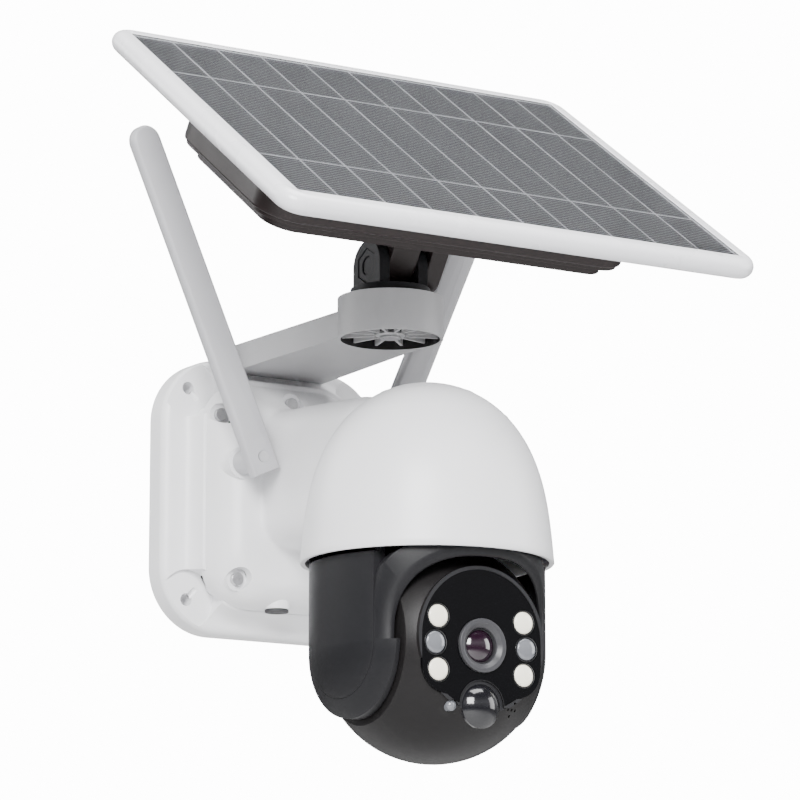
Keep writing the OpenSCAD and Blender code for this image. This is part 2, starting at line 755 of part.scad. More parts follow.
module led_board() {
  color(board_green) at_face() translate([0, 0, -5.2]) linear_extrude(1.4) difference() {
    circle(27);
    translate([0, lens_dz]) circle(12);
    translate([0, -30]) square([40, 24], center = true);
  }
}
module sensor_board() {
  color(board_green) at_face() translate([0, lens_dz, -28.6]) linear_extrude(1.6) rounded(25, 40, 2);
}
module motion_lens() {
  color(dark_grey) at_face() translate([0, pir_dz, 0]) difference() {
    intersection() {
      translate([0, 0, -6.6]) sphere(11, $fn = 64);
      translate([0, 0, -1.5]) cylinder(h = 8, r = pir_r);
    }
    intersection() {
      translate([0, 0, -6.6]) sphere(9.8, $fn = 64);
      translate([0, 0, -2]) cylinder(h = 8, r = pir_r - 1.2);
    }
  }
}
module motion_sensor() {
  color(steel) at_face() translate([0, pir_dz + 1, -7.6]) {
    cylinder(h = 4.2, r = 4.6);
    cylinder(h = 0.6, r = 5.1);
  }
}
module light_sensor() {
  color("#6a6d75") at_face() translate([-13.9, pir_dz - 0.3, -3]) {
    cylinder(h = 2.6, r = 2.25);
    translate([0, 0, 1.6]) sphere(2.2, $fn = 32);
  }
}
module microphone() {
  color(steel) at_face() translate([15.8, pir_dz - 0.3, -7.8]) cylinder(h = 2.2, r = 2.9);
}
module tilt_motor() {
  color(steel) difference() {
    union() {
      rod_x(14.5, 30.3, -tilt_y, tilt_z, 12);
      rod_x(30.3, 33.4, -tilt_y, tilt_z, 4.9);
    }
    rod_x(13, 36, -tilt_y, tilt_z, 2.5 + running);
  }
}
module tilt_trunnion() {
  color(black) difference() {
    union() {
      rod_x(-39.5, -28.5, -tilt_y, tilt_z, 6);
      rod_x(-30.5, -28.5, -tilt_y, tilt_z, 9);
    }
    rod_x(-41, -27, -tilt_y, tilt_z, 4.2);
  }
}

// ---------- swivel ----------
module swivel_clevis() {
  color(black) at_swivel() difference() {
    union() {
      translate([0, 0, drum_top + 0.3]) cylinder(h = disc_top - drum_top - 0.3, r = 17);
      translate([0, 0, 58.2]) cylinder(h = 18, r = stem_r);
      for (x0 = [-ear_x, ear_x - ear_t]) {
        translate([x0, -ear_r, disc_top - 1]) cube([ear_t, 2 * ear_r, pivot_z - disc_top + 1]);
        rod_x(x0, x0 + ear_t, 0, pivot_z, ear_r);
      }
    }
    rod_x(-20, 20, 0, pivot_z, bolt_r);
    rod_x(-ear_x - 1, -ear_x + 3.6, 0, pivot_z, nut_af / 2 / cos(30) + 0.15, $fn = 6);
    translate([0, 0, 50]) cylinder(h = 22, r = 2.1);
  }
}
module swivel_screw() {
  color(steel) at_swivel() {
    translate([0, 0, 56.8]) cylinder(h = 1.4, r = 6.4);
    translate([0, 0, 55.6]) cylinder(h = 1.3, r = 4.4);
    translate([0, 0, 57]) cylinder(h = 14, r = 2.1);
  }
}
module tilt_bolt() {
  color(steel) at_swivel() {
    rod_x(-11, 16.6, 0, pivot_z, bolt_r);
    rod_x(16.6, 20.2, 0, pivot_z, 7);
  }
}
module tilt_nut() {
  color(steel) at_swivel() difference() {
    rod_x(-11.6, -8.4, 0, pivot_z, nut_af / 2 / cos(30), $fn = 6);
    rod_x(-13, -6, 0, pivot_z, bolt_r);
  }
}

// ---------- solar panel ----------
module panel_frame() {
  color(white) at_panel() translate([0, -panel_fwd, 0]) difference() {
    hull() for (sx = [-1, 1], sy = [-1, 1])
      translate([sx * (panel_w / 2 - 11), sy * (panel_d / 2 - 11), frame_z]) {
        translate([0, 0, 2.5]) cylinder(h = panel_t - 5, r = 11, $fn = 40);
        cylinder(h = panel_t, r = 8.5, $fn = 40);
      }
    translate([0, 0, panel_rise - 3]) linear_extrude(5) square([panel_w - 16, panel_d - 16], center = true);
    translate([0, box_back + panel_fwd, frame_z - 1]) linear_extrude(8) rounded(box_w - 8, box_d - 8, 13);
  }
}
// One crystalline wafer cut in ten strips, with the busbar gaps left clear
module solar_cells() {
  color("#4a4b50") at_panel() translate([0, -panel_fwd, panel_rise - 3]) for (i = [0:9]) {
    w = (i == 0 || i == 9) ? 18.9 : cell_pitch;
    x = i == 0 ? -9.45 - 4 * cell_pitch : i == 9 ? 9.45 + 4 * cell_pitch : (i - 4.5) * cell_pitch;
    for (row = [[-65.8, 38.6], [-1.3, 89.2], [64, 41.2]])
      translate([x, row[0], 0.3]) cube([w - 0.8, row[1], 0.6], center = true);
  }
}
module panel_glass() {
  color("#9aa3ad", 0.35) at_panel() translate([0, -panel_fwd, panel_rise - 2.3])
    linear_extrude(2) square([panel_w - 16.4, panel_d - 16.4], center = true);
}
module battery_box() {
  color(box_brown) at_panel() translate([0, box_back, 0]) difference() {
    translate([0, 0, box_z]) linear_extrude(frame_z - box_z) rounded(box_w, box_d, 17);
    translate([0, 0, box_z - 1]) linear_extrude(frame_z - box_z - 1.5) rounded(box_w - 5, box_d - 5, 14.5);
  }
}
module box_lid() {
  color(box_brown) at_panel() translate([0, box_back, 0]) difference() {
    union() {
      translate([0, 0, box_z - 1.5]) linear_extrude(1.5) rounded(box_w - 3, box_d - 3, 15.5);
      translate([0, 0, lid_z]) linear_extrude(4.6) rounded(box_w - 14, box_d - 14, 12);
    }
    translate([0, 0, lid_z + 2.2]) linear_extrude(10) rounded(box_w - 19, box_d - 19, 9.5);
    translate([55, 25, lid_z - 1]) cylinder(h = 6, r = 5);
  }
}
module battery_cells() {
  color("#2f6fb0") at_panel() for (i = [-1, 1], j = [-1:1])
    translate([i * 33 - 12, box_back + j * 20, box_z + 9]) rotate([0, 90, 0])
      cylinder(h = 65, r = 9.2, center = true);
}
module charge_board() {
  color(board_green) at_panel() translate([66, box_back, box_z + 2]) linear_extrude(1.6) rounded(22, 60, 2);
  color(black) at_panel() translate([60, box_back - 12, box_z + 3.4]) cube([12, 24, 5]);
}
module panel_lug() {
  color(box_brown) at_panel() difference() {
    union() {
      rod_x(-lug_x, lug_x, 0, 0, 8.3);
      translate([-lug_x, -8.3, 0]) cube([2 * lug_x, 16.6, lid_z - 3]);
      rod_x(cheek_lug[0], cheek_lug[1], 0, 0, 8.6);
      translate([cheek_lug[0], -8.6, 0]) cube([cheek_lug[1] - cheek_lug[0], 17.2, lid_z - 3]);
      translate([-16, -17, lid_z - 6.5]) cube([cheek_lug[1] + 20, 34, 6.5]);
    }
    rod_x(-20, 30, 0, 0, bolt_r + running);
    rod_x(cheek_lug[0] + 4, 30, 0, 0, 7.4);
  }
}
module box_gland() {
  color(black) at_panel() translate([55, box_back + 25, lid_z]) difference() {
    union() {
      translate([0, 0, -9]) cylinder(h = 9, r = 4.8);
      translate([0, 0, -4.5]) cylinder(h = 4.5, r = 7.2, $fn = 6);
      cylinder(h = 4, r = 4.9);
    }
    translate([0, 0, -10]) cylinder(h = 20, r = 2);
  }
}

wall_flange();
rear_cover();
rear_seal();
front_housing();
housing_screws();
main_board();
power_button();
port_plug();
lead_gland();
solar_arm();
arm_screws();
antenna_knuckles();
antenna_pins();
antenna_left();
antenna_right();
dome_cover();
dome_screws();
chassis_plate();
chassis_screws();
pan_gear();
bearing_outer_race();
bearing_balls();
turret_yoke();
bearing_inner_race();
spindle_nut();
pan_motor();
pan_pinion();
turret_front_cover();
side_cap_left();
side_cap_right();
tilt_shaft();
ball_rear_shell();
ball_front_shell();
face_window();
lens_ring();
lens_barrel();
lens_glass();
white_led_lenses();
infrared_led_lenses();
led_board();
sensor_board();
motion_lens();
motion_sensor();
light_sensor();
microphone();
tilt_motor();
tilt_trunnion();
swivel_clevis();
swivel_screw();
tilt_bolt();
tilt_nut();
panel_frame();
solar_cells();
panel_glass();
battery_box();
box_lid();
battery_cells();
charge_board();
panel_lug();
box_gland();
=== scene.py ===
import json
import math

import bmesh
import bpy
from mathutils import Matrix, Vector


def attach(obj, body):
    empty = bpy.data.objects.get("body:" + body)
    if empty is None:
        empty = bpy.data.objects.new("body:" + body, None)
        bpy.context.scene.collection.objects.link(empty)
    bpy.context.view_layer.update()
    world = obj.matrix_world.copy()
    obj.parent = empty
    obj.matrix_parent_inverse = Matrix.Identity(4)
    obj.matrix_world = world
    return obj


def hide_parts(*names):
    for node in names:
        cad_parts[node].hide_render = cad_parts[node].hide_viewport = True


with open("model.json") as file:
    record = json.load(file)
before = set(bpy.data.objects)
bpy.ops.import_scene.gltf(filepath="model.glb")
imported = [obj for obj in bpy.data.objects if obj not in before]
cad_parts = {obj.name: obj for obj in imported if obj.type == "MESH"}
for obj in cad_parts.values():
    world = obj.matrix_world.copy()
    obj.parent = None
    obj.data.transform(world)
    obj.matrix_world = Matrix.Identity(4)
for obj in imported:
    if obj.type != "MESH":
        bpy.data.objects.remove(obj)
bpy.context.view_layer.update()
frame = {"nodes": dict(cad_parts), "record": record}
MM = 0.001
PAN_Y = -140  # upright axis of the dome and turret
TILT_Y, TILT_Z = -144.5, -82  # centre of the camera ball
FACE_Y = -180.5  # flat front of the ball
TURRET_R = 48.8
KNUCKLE_X, KNUCKLE_Z = 29, 11  # pivots of the antennas
BLADE_HALF = 6.75  # half of an antenna's width
HUB_Y, PIVOT_Z = -111, 86  # panel's swivel axis and tilt axis
CORNERS = ((-1, -1), (1, -1), (1, 1), (-1, 1))

# ---------- camera, light and floor ----------


def set_camera():
    data = bpy.data.cameras.new("camera")
    data.lens, data.sensor_width = 180, 36
    data.clip_start, data.clip_end = 0.05, 50
    cam = bpy.data.objects.new("camera", data)
    bpy.context.scene.collection.objects.link(cam)
    turn, rise = math.radians(31.77), math.radians(11.2)
    look = Vector((math.sin(turn) * math.cos(rise), math.cos(turn) * math.cos(rise), math.sin(rise)))
    cam.location = (-0.8692, -1.5223, -0.2990)
    cam.rotation_mode = "QUATERNION"
    cam.rotation_quaternion = look.to_track_quat("-Z", "Y")
    bpy.context.scene.camera = cam


def softbox(name, place, size, power, tint=(1, 1, 1)):
    data = bpy.data.lights.new(name, "AREA")
    data.shape, data.size, data.size_y = "RECTANGLE", size[0], size[1]
    data.energy, data.color = power, tint
    lamp = bpy.data.objects.new(name, data)
    bpy.context.scene.collection.objects.link(lamp)
    lamp.location = place
    aim = Vector((0, -0.1, 0.03)) - Vector(place)
    lamp.rotation_mode = "QUATERNION"
    lamp.rotation_quaternion = aim.to_track_quat("-Z", "Y")


def light_studio():
    world = bpy.data.worlds.new("studio")
    bpy.context.scene.world = world
    world.use_nodes = True
    nodes, links = world.node_tree.nodes, world.node_tree.links
    nodes.clear()
    out = nodes.new("ShaderNodeOutputWorld")
    mix = nodes.new("ShaderNodeMixShader")
    path = nodes.new("ShaderNodeLightPath")
    seen = nodes.new("ShaderNodeBackground")
    seen.inputs["Color"].default_value = (1, 1, 1, 1)
    seen.inputs["Strength"].default_value = 14.0
    room = nodes.new("ShaderNodeBackground")
    coords = nodes.new("ShaderNodeTexCoord")
    split = nodes.new("ShaderNodeSeparateXYZ")
    ramp = nodes.new("ShaderNodeValToRGB")
    span = nodes.new("ShaderNodeMapRange")
    span.inputs["From Min"].default_value = -1
    ramp.color_ramp.elements[0].position = 0.3
    ramp.color_ramp.elements[0].color = (0.07, 0.07, 0.075, 1)
    ramp.color_ramp.elements[1].position = 0.66
    ramp.color_ramp.elements[1].color = (0.86, 0.87, 0.9, 1)
    for place, tone in ((0.5, 0.2), (0.74, 0.5), (0.83, 0.07)):
        ramp.color_ramp.elements.new(place).color = (tone, tone, tone, 1)
    room.inputs["Strength"].default_value = 0.95
    links.new(coords.outputs["Generated"], split.inputs[0])
    links.new(split.outputs["Z"], span.inputs["Value"])
    links.new(span.outputs[0], ramp.inputs[0])
    links.new(ramp.outputs[0], room.inputs["Color"])
    links.new(path.outputs["Is Camera Ray"], mix.inputs[0])
    links.new(room.outputs[0], mix.inputs[1])
    links.new(seen.outputs[0], mix.inputs[2])
    links.new(mix.outputs[0], out.inputs[0])
    softbox("key_left", (-1.1, -1.5, 0.75), (0.9, 0.9), 84)
    softbox("fill_right", (1.5, -0.9, 0.35), (0.8, 1.0), 15)
    softbox("top", (0.1, -0.5, 1.5), (1.2, 1.0), 44)
    softbox("back_rim", (-1.0, 0.9, 0.7), (0.8, 0.6), 8)


def lay_floor():
    me = bpy.data.meshes.new("floor")
    me.from_pydata([(-4, -4, -0.6), (4, -4, -0.6), (4, 4, -0.6), (-4, 4, -0.6)], [], [(0, 1, 2, 3)])
    floor = bpy.data.objects.new("floor", me)
    bpy.context.scene.collection.objects.link(floor)
    me.materials.append(moulding("floor_paint", (0.8, 0.8, 0.8), 0.7, grain=0.0))


# ---------- finishes ----------


def group_sockets(tree, ins, outs):
    for name, kind, value in ins:
        s = tree.interface.new_socket(name, in_out="INPUT", socket_type=kind)
        s.default_value = value
    for name, kind in outs:
        tree.interface.new_socket(name, in_out="OUTPUT", socket_type=kind)


def build_grain_group():
    """Spark-eroded mould grain with faint handling marks and edge wear."""
    g = bpy.data.node_groups.new("mould_grain", "ShaderNodeTree")
    group_sockets(g, [
        ("Color", "NodeSocketColor", (0.8, 0.8, 0.8, 1)),
        ("Roughness", "NodeSocketFloat", 0.4),
        ("Grain Scale", "NodeSocketFloat", 2600),
        ("Smudge", "NodeSocketFloat", 0.05),
        ("Wear", "NodeSocketFloat", 0.1)],
        [("Color", "NodeSocketColor"), ("Roughness", "NodeSocketFloat"), ("Height", "NodeSocketFloat")])
    n, k = g.nodes, g.links
    gin, gout = n.new("NodeGroupInput"), n.new("NodeGroupOutput")
    at = n.new("ShaderNodeTexCoord")
    fine, wide = n.new("ShaderNodeTexNoise"), n.new("ShaderNodeTexNoise")
    k.new(at.outputs["Object"], fine.inputs["Vector"])
    k.new(at.outputs["Object"], wide.inputs["Vector"])
    k.new(gin.outputs["Grain Scale"], fine.inputs["Scale"])
    fine.inputs["Detail"].default_value = 3
    wide.inputs["Scale"].default_value = 34
    wide.inputs["Detail"].default_value = 5
    tone = n.new("ShaderNodeMapRange")
    tone.inputs["From Min"].default_value = 0.3
    tone.inputs["From Max"].default_value = 0.7
    tone.inputs["To Min"].default_value = -1
    k.new(wide.outputs["Fac"], tone.inputs["Value"])
    amount = n.new("ShaderNodeMath")
    amount.operation = "MULTIPLY"
    k.new(tone.outputs[0], amount.inputs[0])
    k.new(gin.outputs["Smudge"], amount.inputs[1])
    bright = n.new("ShaderNodeMath")
    bright.operation = "MULTIPLY_ADD"
    bright.inputs[1].default_value = 0.35
    bright.inputs[2].default_value = 1.0
    k.new(amount.outputs[0], bright.inputs[0])
    tint = n.new("ShaderNodeVectorMath")
    tint.operation = "SCALE"
    k.new(gin.outputs["Color"], tint.inputs[0])
    k.new(bright.outputs[0], tint.inputs["Scale"])
    shape = n.new("ShaderNodeNewGeometry")
    edge = n.new("ShaderNodeMapRange")
    edge.inputs["From Min"].default_value = 0.52
    edge.inputs["From Max"].default_value = 0.6
    k.new(shape.outputs["Pointiness"], edge.inputs["Value"])
    worn = n.new("ShaderNodeMath")
    worn.operation = "MULTIPLY"
    k.new(edge.outputs[0], worn.inputs[0])
    k.new(gin.outputs["Wear"], worn.inputs[1])
    paint = n.new("ShaderNodeMix")
    paint.data_type = "RGBA"
    paint.inputs["B"].default_value = (0.9, 0.9, 0.9, 1)
    k.new(worn.outputs[0], paint.inputs["Factor"])
    k.new(tint.outputs[0], paint.inputs["A"])
    k.new(paint.outputs["Result"], gout.inputs["Color"])
    rough = n.new("ShaderNodeMath")
    rough.operation = "ADD"
    k.new(gin.outputs["Roughness"], rough.inputs[0])
    k.new(amount.outputs[0], rough.inputs[1])
    k.new(rough.outputs[0], gout.inputs["Roughness"])
    k.new(fine.outputs["Fac"], gout.inputs["Height"])
    return g


GRAIN = build_grain_group()


def new_material(name):
    m = bpy.data.materials.new(name)
    m.use_nodes = True
    b = m.node_tree.nodes["Principled BSDF"]
    return m, m.node_tree.nodes, m.node_tree.links, b


def moulding(name, colour, roughness, grain=0.04, scale=2600, smudge=0.05, wear=0.0, coat=0.0):
    """A moulded plastic, rubber or painted skin."""
    m, n, k, b = new_material(name)
    g = n.new("ShaderNodeGroup")
    g.node_tree = GRAIN
    g.inputs["Color"].default_value = (*colour, 1)
    g.inputs["Roughness"].default_value = roughness
    g.inputs["Grain Scale"].default_value = scale
    g.inputs["Smudge"].default_value = smudge
    g.inputs["Wear"].default_value = wear
    k.new(g.outputs["Color"], b.inputs["Base Color"])
    k.new(g.outputs["Roughness"], b.inputs["Roughness"])
    if grain > 0:
        bump = n.new("ShaderNodeBump")
        bump.inputs["Strength"].default_value = 1.0
        bump.inputs["Distance"].default_value = grain * MM
        k.new(g.outputs["Height"], bump.inputs["Height"])
        k.new(bump.outputs[0], b.inputs["Normal"])
    b.inputs["Coat Weight"].default_value = coat
    b.inputs["Coat Roughness"].default_value = 0.12
    b.inputs["IOR"].default_value = 1.48
    return m


def metal(name, colour, roughness, stretch=(1, 1, 12)):
    """Turned or brushed metal."""
    m, n, k, b = new_material(name)
    at = n.new("ShaderNodeTexCoord")
    place = n.new("ShaderNodeMapping")
    place.inputs["Scale"].default_value = stretch
    lines = n.new("ShaderNodeTexNoise")
    lines.inputs["Scale"].default_value = 700
    lines.inputs["Detail"].default_value = 4
    k.new(at.outputs["Object"], place.inputs["Vector"])
    k.new(place.outputs[0], lines.inputs["Vector"])
    ramp = n.new("ShaderNodeMapRange")
    ramp.inputs["To Min"].default_value = roughness * 0.7
    ramp.inputs["To Max"].default_value = roughness * 1.35
    k.new(lines.outputs["Fac"], ramp.inputs["Value"])
    k.new(ramp.outputs[0], b.inputs["Roughness"])
    bump = n.new("ShaderNodeBump")
    bump.inputs["Distance"].default_value = 0.01 * MM
    k.new(lines.outputs["Fac"], bump.inputs["Height"])
    k.new(bump.outputs[0], b.inputs["Normal"])
    b.inputs["Base Color"].default_value = (*colour, 1)
    b.inputs["Metallic"].default_value = 1
    return m


def glass(name, colour, roughness=0.03, ior=1.5, transmission=1.0):
    m, n, k, b = new_material(name)
    b.inputs["Base Color"].default_value = (*colour, 1)
    b.inputs["Roughness"].default_value = roughness
    b.inputs["IOR"].default_value = ior
    b.inputs["Transmission Weight"].default_value = transmission
    return m


def cell_silicon():
    """Dark crystalline silicon with fine silver fingers across each strip."""
    m, n, k, b = new_material("cell_silicon")
    at = n.new("ShaderNodeTexCoord")
    turn = n.new("ShaderNodeMapping")
    turn.inputs["Rotation"].default_value = (math.radians(-35), 0, 0)
    k.new(at.outputs["Object"], turn.inputs["Vector"])
    split = n.new("ShaderNodeSeparateXYZ")
    k.new(turn.outputs[0], split.inputs[0])
    pitch = n.new("ShaderNodeMath")
    pitch.operation = "MULTIPLY"
    pitch.inputs[1].default_value = 1 / 0.00218
    k.new(split.outputs["Y"], pitch.inputs[0])
    saw = n.new("ShaderNodeMath")
    saw.operation = "FRACT"
    k.new(pitch.outputs[0], saw.inputs[0])
    line = n.new("ShaderNodeMapRange")
    line.interpolation_type = "SMOOTHSTEP"
    line.inputs["From Min"].default_value = 0.62
    line.inputs["From Max"].default_value = 0.78
    k.new(saw.outputs[0], line.inputs["Value"])
    cloud = n.new("ShaderNodeTexNoise")
    cloud.inputs["Scale"].default_value = 26
    cloud.inputs["Detail"].default_value = 4
    k.new(at.outputs["Object"], cloud.inputs["Vector"])
    shade = n.new("ShaderNodeMix")
    shade.data_type = "RGBA"
    shade.inputs["A"].default_value = (0.038, 0.038, 0.041, 1)
    shade.inputs["B"].default_value = (0.048, 0.048, 0.052, 1)
    k.new(cloud.outputs["Fac"], shade.inputs["Factor"])
    silver = n.new("ShaderNodeMix")
    silver.data_type = "RGBA"
    silver.inputs["B"].default_value = (0.34, 0.34, 0.345, 1)
    k.new(line.outputs[0], silver.inputs["Factor"])
    k.new(shade.outputs["Result"], silver.inputs["A"])
    k.new(silver.outputs["Result"], b.inputs["Base Color"])
    b.inputs["Roughness"].default_value = 0.42
    return m


WHITE = moulding("white_abs", (0.80, 0.80, 0.815), 0.36, grain=0.012, smudge=0.04)
FRAME_WHITE = moulding("panel_white", (0.80, 0.80, 0.83), 0.28, grain=0.006, smudge=0.04, coat=0.2)
PALE = moulding("pale_grey_abs", (0.46, 0.46, 0.48), 0.42, grain=0.015, smudge=0.06)
ARM = moulding("arm_grey_abs", (0.40, 0.40, 0.41), 0.45, grain=0.015, smudge=0.06)
CHARCOAL = moulding("charcoal_abs", (0.011, 0.011, 0.0125), 0.38, grain=0.02, smudge=0.05, wear=0.003)
BALL = moulding("ball_abs", (0.009, 0.0082, 0.0085), 0.4, grain=0.02, smudge=0.05, wear=0.003)
BEZEL = moulding("bezel_abs", (0.017, 0.017, 0.019), 0.42, grain=0.02, smudge=0.05)
BROWN = moulding("box_abs", (0.016, 0.0105, 0.0105), 0.36, grain=0.02, smudge=0.06, wear=0.003)
BLACK_GLOSS = moulding("window_acrylic", (0.0015, 0.0015, 0.002), 0.06, grain=0.0, smudge=0.02)
CLEVIS = moulding("clevis_nylon", (0.02, 0.02, 0.022), 0.45, grain=0.03, smudge=0.06, wear=0.003)
RUBBER = moulding("button_rubber", (0.04, 0.04, 0.043), 0.7, grain=0.03, smudge=0.05)
DARK_RIM = moulding("lamp_rim", (0.006, 0.006, 0.007), 0.3, grain=0.0)
GEAR = moulding("gear_acetal", (0.75, 0.75, 0.72), 0.4, grain=0.01)
BOARD = moulding("board_mask", (0.02, 0.10, 0.045), 0.35, grain=0.03, scale=900, smudge=0.1)
WRAP = moulding("cell_wrap", (0.04, 0.16, 0.42), 0.25, grain=0.0, smudge=0.06)
STEEL = metal("screw_steel", (0.56, 0.56, 0.57), 0.3)
LENS_RING = moulding("ring_anodised", (0.05, 0.05, 0.054), 0.33, grain=0.01)
MOTION = moulding("motion_polythene", (0.008, 0.008, 0.010), 0.12, grain=0.0, smudge=0.03, coat=0.4)
WARM = moulding("warm_lens", (0.90, 0.86, 0.72), 0.2, grain=0.0, smudge=0.03, coat=0.5)
CLEAR = moulding("infrared_lens", (0.15, 0.155, 0.17), 0.12, grain=0.0, smudge=0.05, coat=0.6)
LENS_GLASS = moulding("lens_coated_glass", (0.012, 0.003, 0.010), 0.04, grain=0.0, smudge=0.01, coat=1.0)
COVER = glass("panel_cover", (0.97, 0.98, 1.0))
CELLS = cell_silicon()
# Painted shade: near-black paint for the inside of the hub's recess, where shadow falls.
RECESS_SHADE = moulding("recess_painted_shade", (0.004, 0.004, 0.004), 0.5, grain=0.0, smudge=0.02)
SHEET = moulding("cell_backing", (0.62, 0.62, 0.63), 0.5, grain=0.0, smudge=0.03)

for dark, shine in ((CHARCOAL, 0.2), (BALL, 0.2), (BEZEL, 0.3), (BROWN, 0.3), (BLACK_GLOSS, 0.3),
                    (CLEVIS, 0.2), (LENS_RING, 0.3)):
    dark.node_tree.nodes["Principled BSDF"].inputs["Specular IOR Level"].default_value = shine
# Painted glow: the warm LED lenses are given a faint light of their own to look bright.
WARM.node_tree.nodes["Principled BSDF"].inputs["Emission Color"].default_value = (1, 0.97, 0.86, 1)
WARM.node_tree.nodes["Principled BSDF"].inputs["Emission Strength"].default_value = 0.35

FINISH = {
    "wall_flange": WHITE, "rear_cover": WHITE, "front_housing": WHITE, "dome_cover": WHITE,
    "rear_seal": RUBBER, "power_button": RUBBER, "port_plug": RUBBER,
    "lead_gland": CLEVIS, "box_gland": CLEVIS,
    "solar_arm": ARM, "antenna_knuckles": PALE, "antenna_left": PALE, "antenna_right": PALE,
    "chassis_plate": CHARCOAL, "turret_yoke": CHARCOAL, "turret_front_cover": CHARCOAL,
    "side_cap_left": CHARCOAL, "side_cap_right": CHARCOAL, "ball_rear_shell": BALL, "ball_front_shell": BALL,
    "face_window": BLACK_GLOSS, "lens_ring": LENS_RING, "lens_barrel": CLEVIS, "lens_glass": LENS_GLASS,
    "white_led_lenses": WARM, "infrared_led_lenses": CLEAR, "light_sensor": CLEAR, "motion_lens": MOTION,
    "led_board": BOARD, "sensor_board": BOARD, "main_board": BOARD, "charge_board": BOARD,
    "swivel_clevis": CLEVIS, "tilt_trunnion": CLEVIS, "panel_frame": FRAME_WHITE, "solar_cells": CELLS,
    "panel_glass": COVER, "battery_box": BROWN, "box_lid": BROWN, "panel_lug": BROWN, "battery_cells": WRAP,
    "pan_gear": GEAR, "pan_pinion": GEAR, "tilt_nut": CLEVIS, "tilt_bolt": CLEVIS,
}
BODY_OF = {n: b for b, ns in frame["record"]["behaviour"]["bodies"].items() for n in ns}


def dress_frame():
    for name, obj in frame["nodes"].items():
        obj.data.materials.clear()
        obj.data.materials.append(FINISH.get(name, STEEL))


# ---------- making pieces ----------


def add_piece(name, mesh, node, material, smooth=True):
    """Puts a mesh in the scene in place of a frame node, riding on the node's body."""
    obj = bpy.data.objects.new(name, mesh)
    bpy.context.scene.collection.objects.link(obj)
    mesh.materials.clear()
    mesh.materials.append(material)
    for p in mesh.polygons:
        p.use_smooth = smooth
    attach(obj, BODY_OF[node])
    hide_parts(node)
    return obj


def node_shape(node):
    """A clean copy of a frame node's mesh."""
    mesh = frame["nodes"][node].data.copy()
    bm = bmesh.new()
    bm.from_mesh(mesh)
    bmesh.ops.remove_doubles(bm, verts=bm.verts, dist=0.002 * MM)
    bmesh.ops.dissolve_limit(bm, angle_limit=math.radians(1.0), verts=bm.verts, edges=bm.edges)
    bm.to_mesh(mesh)
    bm.free()
    return mesh


def round_edges(obj, width, segments=3, angle=32):
    bevel = obj.modifiers.new("edges", "BEVEL")
    bevel.width = width * MM
    bevel.segments = segments
    bevel.limit_method = "ANGLE"
    bevel.angle_limit = math.radians(angle)
    bevel.use_clamp_overlap = True
    obj.modifiers.new("normals", "WEIGHTED_NORMAL").keep_sharp = False
    return obj


def softened(node, width):
    """The node's own shape with rounded edges."""
    obj = add_piece(node + "_soft", node_shape(node), node, FINISH.get(node, STEEL))
    return round_edges(obj, width)


def second_finish(obj, material, chosen):
    """Gives a second material to the faces for which chosen(centre, normal) is true."""
    obj.data.materials.append(material)
    for p in obj.data.polygons:
        if chosen(p.center / MM, p.normal):
            p.material_index = len(obj.data.materials) - 1


def bridge_rings(rings, close_first=False, close_last=False):
    """A skin through rings of points, all with the same count. Points are in millimetres."""
    bm = bmesh.new()
    made = [[bm.verts.new(Vector(p) * MM) for p in ring] for ring in rings]
    count = len(made[0])
    for a, b in zip(made, made[1:]):
        for i in range(count):
            j = (i + 1) % count
            bm.faces.new((a[i], a[j], b[j], b[i]))
    if close_first:
        bm.faces.new(made[0])
    if close_last:
        bm.faces.new(list(reversed(made[-1])))
    bmesh.ops.recalc_face_normals(bm, faces=bm.faces)
    mesh = bpy.data.meshes.new("skin")
    bm.to_mesh(mesh)
    bm.free()
    return mesh


def rounded_ring(half_w, low, high, corner, count=24):
    """Outline of a rounded rectangle as (across, up) pairs, count points a corner."""
    pts = []
    for cx, cz, start in ((1, 1, 0), (-1, 1, 90), (-1, -1, 180), (1, -1, 270)):
        mid = Vector((cx * (half_w - corner), (high - corner) if cz > 0 else (low + corner)))
        for k in range(count):
            a = math.radians(start + 90 * k / (count - 1))
            pts.append((mid.x + corner * math.cos(a), mid.y + corner * math.sin(a)))
    return pts


def housing_ring(depth, half_w, low, high, corner):
    return [(x, -depth, z) for x, z in rounded_ring(half_w, low, high, corner)]


def circle(radius, steps):
    """Points of a circle as (across, up) pairs."""
    turns = [2 * math.pi * k / steps for k in range(steps)]
    return [(radius * math.cos(a), radius * math.sin(a)) for a in turns]


def lathe(profile, centre, steps=128):
    """Turns (radius, height) pairs about an upright axis through centre (x, y)."""
    return bridge_rings([[(centre[0] + x, centre[1] + y, z) for x, y in circle(r, steps)] for r, z in profile])


def rod(start, end, radius, steps=48):
    """A closed round tool for cutting, from start to end."""
    a, b = Vector(start), Vector(end)
    turn = (b - a).to_track_quat("Z", "Y")
    ring = [turn @ Vector((x, y, 0)) for x, y in circle(radius, steps)]
    return bridge_rings([[a + p for p in ring], [b + p for p in ring]], True, True)


def flatten(mesh, *steps):
    """Applies modifiers, given as (type, settings), and gives back a plain mesh."""
    obj = bpy.data.objects.new("scratch", mesh)
    bpy.context.scene.collection.objects.link(obj)
    for kind, settings in steps:
        mod = obj.modifiers.new(kind, kind)
        for key, value in settings.items():
            setattr(mod, key, value)
    made = bpy.data.meshes.new_from_object(obj.evaluated_get(bpy.context.evaluated_depsgraph_get()))
    bpy.data.objects.remove(obj)
    return made


def join_or_cut(mesh, tools, operation="DIFFERENCE"):
    """Boolean of a mesh with several tool meshes."""
    held = []
    steps = []
    for tool in tools:
        t = bpy.data.objects.new("tool", tool)
        bpy.context.scene.collection.objects.link(t)
        held.append(t)
        steps.append(("BOOLEAN", {"object": t, "operation": operation, "solver": "EXACT"}))
    made = flatten(mesh, *steps)
    for t in held:
        bpy.data.objects.remove(t)
    return made


